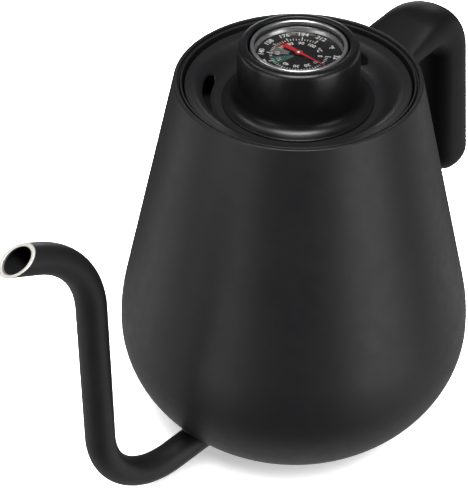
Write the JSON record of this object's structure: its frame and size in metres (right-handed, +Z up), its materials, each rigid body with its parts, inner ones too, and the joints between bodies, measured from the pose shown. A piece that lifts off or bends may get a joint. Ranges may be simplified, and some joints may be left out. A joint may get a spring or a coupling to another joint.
{
  "type": "gooseneck kettle",
  "caption": "Matte black gooseneck pour-over kettle: tapered round body, thin S-shaped spout, open handle, lift-off lid with a dial thermometer in its knob.",
  "frame": {"origin": "centre of the flat base's underside, on the body's axis, where the kettle stands", "axes": "+Z up along the body's axis, +X towards the handle, -X towards the spout's mouth, +Y to the left of a person who looks along +X"},
  "size_m": [0.2523, 0.145, 0.179],
  "materials": {
    "black_paint": "matte black powder coat on stainless steel",
    "phenolic": "satin black heat-proof moulding",
    "steel": "fine brushed stainless steel",
    "aluminium": "plain rolled aluminium",
    "silicone": "matte black silicone",
    "lens_glass": "clear flat glass",
    "dial_black": "black dial with white scale and coloured zones",
    "pointer_red": "red painted pointer",
    "brass": "bimetal strip"
  },
  "bodies": {
    "kettle_body": {"body_shell": "black_paint", "neck_ring": "black_paint", "body_floor": "steel", "heat_disc": "aluminium", "base_cap": "steel", "spout_tube": "black_paint", "handle_strap": "steel", "handle_pad": "silicone", "handle_grip": "phenolic", "handle_screw_inner": "steel", "handle_screw_outer": "steel"},
    "lid_seal": {"lid_gasket": "silicone"},
    "lid": {"lid_pan": "black_paint", "lid_underplate": "steel", "knob_shell": "phenolic", "knob_gasket": "silicone", "stem_washer": "steel", "stem_nut": "steel", "stem_bush": "steel", "stem_tube": "steel", "bimetal_coil": "brass", "thermo_case": "steel", "thermo_dial": "dial_black", "lens_gasket": "silicone", "thermo_lens": "lens_glass", "thermo_bezel": "steel"},
    "pointer": {"pointer_shaft": "steel", "thermo_pointer": "pointer_red"}
  },
  "joints": [
    {"name": "lid_lift", "type": "slide", "parent": "kettle_body", "child": "lid_seal", "axis": [0, 0, 1], "range_m": [0, 0.125]},
    {"name": "lid_turn", "type": "hinge", "parent": "lid_seal", "child": "lid", "pos_m": [0, 0, 0.163], "axis": [0, 0, 1], "continuous": true},
    {"name": "pointer_turn", "type": "hinge", "parent": "lid", "child": "pointer", "pos_m": [0, 0, 0.175], "axis": [0, 0, -1], "range_deg": [-36, 264]}
  ]
}
